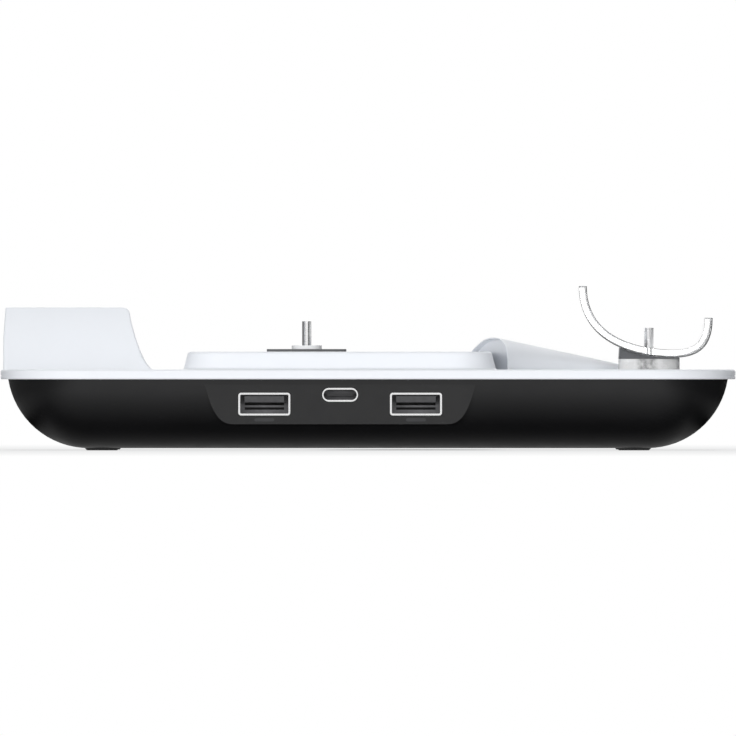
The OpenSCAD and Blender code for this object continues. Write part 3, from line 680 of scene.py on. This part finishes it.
CRESCENT_LOW = 3.05
CRESCENT_LEFT = ((-17.9, 21.05), (-17.9, 9.65), (-9.05, 3.85), (3.95, CRESCENT_LOW))
CRESCENT_RIGHT = ((3.95, CRESCENT_LOW), (11.45, 2.55), (15.85, 4.65), (15.85, 13.05))


def along_crescent(offset, trim, n=28):
    """Points along the crescent; offset gives the distance from its lower face at a share of the way."""
    points = []
    for half, (part, t0, t1) in enumerate(((CRESCENT_LEFT, trim, 1), (CRESCENT_RIGHT, 0, 1 - trim))):
        for k in range(half, n + 1):
            t = t0 + (t1 - t0) * k / n
            (x, y), (nx, ny) = bezier(part, t), bezier_normal(part, t)
            off = offset((half + t) / 2)
            points.append((x + off * nx, y + off * ny))
    return points


def polished_width(stops, share):
    """Width of a hand-polished edge, between stops of (share of the way, width)."""
    for (s0, w0), (s1, w1) in zip(stops, stops[1:]):
        if share <= s1:
            return mix(w0, w1, (share - s0) / (s1 - s0))
    return stops[-1][1]


# Widths of the crescent's rounded edges; these bands carry the painted dark outline, so they are widest at
# the lower right.
LOWER_EDGE = ((0, 0.12), (0.12, 0.16), (0.26, 0.42), (0.5, 0.5), (0.7, 0.7), (0.82, 0.6), (1, 0.25))
UPPER_EDGE = ((0, 0.28), (0.1, 0.22), (0.22, 0.11), (1, 0.09))


def crescent(part, y):
    """The crescent's outline, drawn in by a part of its edges' polished width."""
    trim = 0.009 * part
    outer = along_crescent(lambda t: part * polished_width(LOWER_EDGE, t), trim)
    inner = along_crescent(lambda t: CRADLE_T - part * polished_width(UPPER_EDGE, t), trim)
    return [(CRADLE_X + x, y, DECK_Z + z) for x, z in outer + inner[::-1]]


def cradle_plug_hole():
    outline = stadium(CRADLE_X, 0, PLUG_T + 2 * HOLE_FIT, PLUG_W + 2 * HOLE_FIT)
    return prism("hole", outline, DECK_Z, DECK_Z + 12)


def cradle():
    """The clear crescent; its rounded edges carry a dark painted shade, standing in for the dark outlines
    that refraction gives.
    """
    half = CRADLE_L / 2
    depth = 0.35
    angles = [math.radians(a) for a in (0, 22, 45, 67, 90)]
    parts = [1 - math.sin(a) for a in angles]
    shifts = [depth * (1 - math.cos(a)) for a in angles]
    rings = [crescent(part, -half + d) for part, d in zip(parts, shifts)]
    rings += [crescent(part, half - d) for part, d in zip(parts[::-1], shifts[::-1])]
    body = loft("clear_cradle", rings)
    combine(body, "DIFFERENCE", [cradle_plug_hole()])
    place(smooth(body, 30), MATERIALS["clear_plastic"], ["cradle"])
    # Painted shade: the rounded end bands are tinted dark, as a stand-in for the dark refracted outlines.
    edge = clear_material("acrylic_painted_dark_edge", (0.16, 0.163, 0.167), (0.28, 0.284, 0.29), 0.2)
    body.data.materials.append(edge)
    for face in body.data.polygons:
        reach = abs(face.center.y) / MM
        face.material_index = int(half - depth < reach < half - 0.001)


def saddle():
    """The dark wedge between the collar and the cradle's lower face: a painted shade piece, standing in for
    the shade and refraction seen through the clear cradle there.
    """
    half_w, half_l = COLLAR_W / 2, COLLAR_L / 2
    gap = 0.02
    under = curve(CRESCENT_LEFT, 60, -gap) + curve(CRESCENT_RIGHT, 40, -gap)[1:]
    top = [p for p in under if abs(p[0]) < half_w]
    outline = [(-half_w, COLLAR_H + gap), (half_w, COLLAR_H + gap)] + top[::-1]
    rings = [[(CRADLE_X + x, y, DECK_Z + z) for x, z in outline] for y in (-half_l, half_l)]
    body = loft("cradle_saddle", rings)
    combine(body, "DIFFERENCE", [cradle_plug_hole()])
    # Painted shade: a dark tint where the clear cradle only looks dark.
    material = finish_material("saddle_painted_shade", (0.09, 0.092, 0.098), 0.3, 1800, 0.004, mottle=0.05)
    place(smooth(body, 30), material, ["cradle"])


cradle()
saddle()


# Port panel


def label(name, x):
    """A plain printed bar under a port."""
    outline = [(px, pz) for pz, px in stadium(0, 0, LABEL_H, LABEL_W, 8)]
    faces = (PANEL_Y + LABEL_PROUD, PANEL_Y - LABEL_PROUD)
    rings = [[(x + px, y, LABEL_Z + pz) for px, pz in outline] for y in faces]
    material = finish_material("label_grey", (0.034, 0.034, 0.036), 0.5, 2400, 0.006, mottle=0.1)
    place(smooth(loft(name, rings)), material)


def cool_grey(level):
    return level, level, level * 1.04


def insert_material(name, front, back, depth, slit_depth):
    """Moulded insulator, with painted light that makes it paler toward the back of the port and painted
    shade that makes it dark inside its slits.
    """
    material, nodes, links, shader = new_material(name)
    inward = object_axes(nodes, links)["Y"]
    slit_y = PORT_Y + slit_depth
    # Painted light: paler toward the back of the port.
    reach = ramp(nodes, links, inward, (PORT_Y + 1) * MM, (PORT_Y + depth) * MM, 0.0, 1.0)
    # Painted shade: dark inside the slits.
    slit_shade = ramp(nodes, links, inward, slit_y * MM, (slit_y + 0.3) * MM, 0.0, 1.0)
    pale = blend_colour(nodes, links, reach, cool_grey(front), cool_grey(back))
    dark = blend_colour(nodes, links, slit_shade, pale, (0.004, 0.004, 0.004))
    mottled = nodes.new("ShaderNodeVectorMath")
    mottled.operation = "SCALE"
    links.new(dark, mottled.inputs[0])
    links.new(spread(nodes, links, noise(nodes, links, 900, 3), 0.9, 1.1), mottled.inputs["Scale"])
    links.new(mottled.outputs["Vector"], shader.inputs["Base Color"])
    vary_gloss(nodes, links, shader, 400, 3, 0.5, 0.62)
    add_bump(nodes, links, shader, noise(nodes, links, 2400, 3), 0.01)
    return material


def box_rings(x0, x1, z0, z1, y0, y1, edge):
    """Rings of a bar that runs back from y0 to y1, with its front edges rounded."""
    rings = []
    for d, i in ((0, edge), (0.3 * edge, 0.3 * edge), (edge, 0)):
        rings.append([(x, y0 + d, z) for x, z in (
            (x0 + i, z0 + i), (x1 - i, z0 + i), (x1 - i, z1 - i), (x0 + i, z1 - i))])
    rings.append([(x, y1, z) for x, z in ((x0, z0), (x1, z0), (x1, z1), (x0, z1))])
    return rings


def usb_a_insert(name, node, x, material):
    """Rear block with two slits, and the tongue above them."""
    back = PORT_Y + USB_A_DEPTH - 1 - INSERT_T
    ring = round_ring(-INSERT_HALF_W, INSERT_HALF_W, -INSERT_HALF_H, INSERT_HALF_H, (0.3,) * 4, 0, 4)
    block = loft(name, [[(x + px, y, USB_A_Z + pz) for px, pz, _ in ring] for y in (back, back + INSERT_T)])
    slits = []
    for low in SLIT_LOWS:
        z = USB_A_Z + low
        rings = box_rings(x - SLIT_HALF_W, x + SLIT_HALF_W, z, z + SLIT_H, back - 1, back + 1, 0)
        slits.append(loft("slit", rings))
    combine(block, "DIFFERENCE", slits)
    low, top = USB_A_Z + TONGUE_LOW, USB_A_Z + TONGUE_TOP
    tongue = loft("tongue", box_rings(
        x - TONGUE_HALF_W, x + TONGUE_HALF_W, low, top, PORT_Y + 1, back + MERGE, TONGUE_EDGE))
    combine(block, "UNION", [tongue])
    place(smooth(block), material, [node])


label("label_left", PANEL_X - USB_A_X)
label("label_right", PANEL_X + USB_A_X)
insert = insert_material("usb_a_insert", front=0.064, back=0.13, depth=11.1, slit_depth=11.3)
usb_a_insert("insert_left", "usb_a_left_tongue", PANEL_X - USB_A_X, insert)
usb_a_insert("insert_right", "usb_a_right_tongue", PANEL_X + USB_A_X, insert)


# Collar and plug of the cradle


def collar_material():
    """Cloudy clear plastic, with painted shade round the plug's foot inside it and painted shade toward its
    right end.
    """
    material, nodes, links, shader = new_material("collar_cloudy_painted_shade")
    shader.inputs["Coat Weight"].default_value = 0.4
    across = math_node(nodes, links, "SUBTRACT", object_axes(nodes, links)["X"], CRADLE_X * MM)
    reach = math_node(nodes, links, "ABSOLUTE", math_node(nodes, links, "ADD", across, 0.6 * MM))
    # Painted shade round the plug's foot.
    foot = ramp(nodes, links, reach, 1.6 * MM, 3.2 * MM, 1.0, 0.0)
    speckle = spread(nodes, links, noise(nodes, links, 1300, 4), 0.25, 1.0)
    shade = math_node(nodes, links, "MULTIPLY", foot, speckle)
    # Painted shade toward the right end.
    end = ramp(nodes, links, across, 1.5 * MM, 7.7 * MM, 0.0, 0.75)
    clouds = spread(nodes, links, noise(nodes, links, 260, 3), -0.1, 0.1)
    # depth is the painted shade, with a random cloudiness added.
    depth = math_node(nodes, links, "ADD", math_node(nodes, links, "MAXIMUM", shade, end), clouds)
    colour = blend_colour(nodes, links, depth, (0.6, 0.6, 0.6), (0.2, 0.2, 0.2))
    links.new(colour, shader.inputs["Base Color"])
    vary_gloss(nodes, links, shader, 400, 3, 0.22, 0.32)
    add_bump(nodes, links, shader, noise(nodes, links, 1800, 3), 0.01)
    return material


def dress(node, material):
    """Gives all of a node's own mesh one material."""
    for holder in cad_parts[node].material_slots:
        holder.material = material


brushed = finish_material("plug_brushed", (0.96, 0.96, 0.965), 0.27, 3000, 0.002, 1.0, mottle=0.02)
dress("cradle_collar", collar_material())
dress("cradle_plug_shell", brushed)
dress("usb_c_tongue", insert_material("usb_c_insert", front=0.026, back=0.07, depth=5.7, slit_depth=20))


# Camera, floor and light

CAMERA_DISTANCE = 8.0
REFERENCE_Y = -0.04
FRAME_WIDTH = 0.1854
SENSOR = 36.0
EYE_Z = 0.02073


def add_camera():
    data = bpy.data.cameras.new("camera")
    data.sensor_width = SENSOR
    data.lens = SENSOR * CAMERA_DISTANCE / FRAME_WIDTH
    data.clip_start = 0.1
    data.clip_end = 40
    camera = bpy.data.objects.new("camera", data)
    camera.location = (0, REFERENCE_Y - CAMERA_DISTANCE, EYE_Z)
    camera.rotation_euler = (math.radians(90), 0, 0)
    bpy.context.scene.collection.objects.link(camera)
    bpy.context.scene.camera = camera


def seen_rays(nodes, links):
    """1 for camera rays and those that pass through a clear part, and the glossy flag beside it."""
    path = nodes.new("ShaderNodeLightPath").outputs
    seen = math_node(nodes, links, "MAXIMUM", path["Is Camera Ray"], path["Is Transmission Ray"])
    return seen, path["Is Glossy Ray"]


def add_world(ambient=0.16):
    """Soft light from all sides, behind a white background."""
    world = bpy.data.worlds.new("studio")
    bpy.context.scene.world = world
    world.use_nodes = True
    nodes, links = world.node_tree.nodes, world.node_tree.links
    nodes.clear()
    soft = nodes.new("ShaderNodeBackground")
    soft.inputs["Color"].default_value = (0.88, 0.94, 1.0, 1)
    soft.inputs["Strength"].default_value = ambient
    white = nodes.new("ShaderNodeBackground")
    white.inputs["Color"].default_value = (1, 1, 1, 1)
    white.inputs["Strength"].default_value = 1.0
    seen, glossy = seen_rays(nodes, links)
    choice = nodes.new("ShaderNodeMixShader")
    output = nodes.new("ShaderNodeOutputWorld")
    links.new(math_node(nodes, links, "MAXIMUM", seen, glossy), choice.inputs["Fac"])
    links.new(soft.outputs[0], choice.inputs[1])
    links.new(white.outputs[0], choice.inputs[2])
    links.new(choice.outputs[0], output.inputs["Surface"])


def outline_distance(nodes, links, half_x, half_y):
    """Distance from a rectangle's outline along the nearer axis, and the X coordinate."""
    axes = object_axes(nodes, links)
    over = []
    for axis, half in (("X", half_x), ("Y", half_y)):
        reach = math_node(nodes, links, "ABSOLUTE", axes[axis])
        over.append(math_node(nodes, links, "SUBTRACT", reach, half * MM))
    return math_node(nodes, links, "ABSOLUTE", math_node(nodes, links, "MAXIMUM", *over)), axes["X"]


def mirrored_painted_shade(nodes, links):
    """How bright the floor is in a reflection: a painted shadow darkens it by the stand's outline, and
    painted shade darkens it toward both ends.
    """
    apart, across = outline_distance(nodes, links, half_x=92, half_y=57)
    level = ramp(nodes, links, apart, 2 * MM, 28 * MM, 0.0, 0.72)
    left_end = ramp(nodes, links, across, -118 * MM, -90 * MM, 0.12, 1.0)
    right_end = ramp(nodes, links, across, 85 * MM, 115 * MM, 1.0, 0.02)
    for end in (left_end, right_end):
        level = math_node(nodes, links, "MULTIPLY", level, end)
    return level


def glow_share(nodes, links, near, far, near_share):
    """How much of the floor's look is the white background: less near the stand, none under the fan."""
    distance = nodes.new("ShaderNodeVectorMath")
    distance.operation = "LENGTH"
    links.new(object_place(nodes), distance.inputs[0])
    fade = ramp(nodes, links, distance.outputs["Value"], near * MM, far * MM, near_share, 1.0)
    shade_r, lit_r = 19, 27
    below = nodes.new("ShaderNodeVectorMath")
    below.operation = "DISTANCE"
    below.inputs[1].default_value = (FAN_X * MM, FAN_Y * MM, 0)
    links.new(object_place(nodes), below.inputs[0])
    lit = ramp(nodes, links, below.outputs["Value"], shade_r * MM, lit_r * MM, 0.0, 1.0)
    return math_node(nodes, links, "MULTIPLY", fade, lit)


def add_floor(half=3000, near=150, far=600, near_share=0.72):
    """A pale floor that turns into the white background further out, and keeps the shadows near the stand.

    Under the fan, where it shows through the slots, it is plain paint in the stand's own shadow.
    """
    corners = [(-half, -half, 0), (half, -half, 0), (half, half, 0), (-half, half, 0)]
    floor = mesh_object("floor", corners, [(0, 1, 2, 3)])
    material, nodes, links = bare_material("floor")
    paint = nodes.new("ShaderNodeBsdfDiffuse")
    paint.inputs["Color"].default_value = (0.6, 0.6, 0.605, 1)
    seen, glossy = seen_rays(nodes, links)
    reflected = math_node(nodes, links, "GREATER_THAN", glossy, seen)
    shown = math_node(nodes, links, "MULTIPLY", glow_share(nodes, links, near, far, near_share), seen)
    level = nodes.new("ShaderNodeMix")
    level.inputs["A"].default_value = 1.0
    links.new(reflected, level.inputs["Factor"])
    # Reflections see the floor with a painted shadow round the stand and painted shade toward both ends.
    links.new(mirrored_painted_shade(nodes, links), level.inputs["B"])
    glow = nodes.new("ShaderNodeEmission")
    links.new(level.outputs["Result"], glow.inputs["Strength"])
    choice = nodes.new("ShaderNodeMixShader")
    output = nodes.new("ShaderNodeOutputMaterial")
    links.new(math_node(nodes, links, "MAXIMUM", shown, reflected), choice.inputs["Fac"])
    links.new(paint.outputs[0], choice.inputs[1])
    links.new(glow.outputs[0], choice.inputs[2])
    links.new(choice.outputs[0], output.inputs["Surface"])
    floor.data.materials.append(material)


def add_card(name, x, y0, y1, top, level):
    """An upright grey card that only reflections and clear parts see."""
    card = mesh_object(name, [(x, y0, 1), (x, y1, 1), (x, y1, top), (x, y0, top)], [(0, 1, 2, 3)])
    material, nodes, links = bare_material(name)
    glow = nodes.new("ShaderNodeEmission")
    glow.inputs["Strength"].default_value = level
    output = nodes.new("ShaderNodeOutputMaterial")
    links.new(glow.outputs[0], output.inputs["Surface"])
    card.data.materials.append(material)
    card.visible_camera = False
    card.visible_diffuse = False
    card.visible_shadow = False


def add_lamp(name, place_at, aim, width, height, power):
    """A soft lamp that no reflection shows."""
    data = bpy.data.lights.new(name, "AREA")
    data.shape = "RECTANGLE"
    data.size = width
    data.size_y = height
    data.energy = power
    lamp = bpy.data.objects.new(name, data)
    lamp.location = place_at
    lamp.rotation_euler = (Vector(aim) - Vector(place_at)).to_track_quat("-Z", "Y").to_euler()
    lamp.visible_camera = False
    lamp.visible_glossy = False
    bpy.context.scene.collection.objects.link(lamp)


def add_lights():
    middle = (0, 0, 0.02)
    add_lamp("front", (-0.1, -1.7, 0.085), middle, width=1.5, height=0.15, power=24.2)
    add_lamp("left", (-1.6, -0.25, 0.5), middle, width=1.0, height=0.9, power=4.5)
    add_lamp("back", (0.1, 1.1, 1.65), middle, width=1.4, height=1.0, power=30)
    add_card("card_left", x=-900, y0=-1070, y1=1285, top=1200, level=0.12)
    add_card("card_right", x=900, y0=-1285, y1=1000, top=1200, level=0.08)


add_camera()
add_world()
add_floor()
add_lights()
bpy.context.scene.view_settings.view_transform = "Standard"
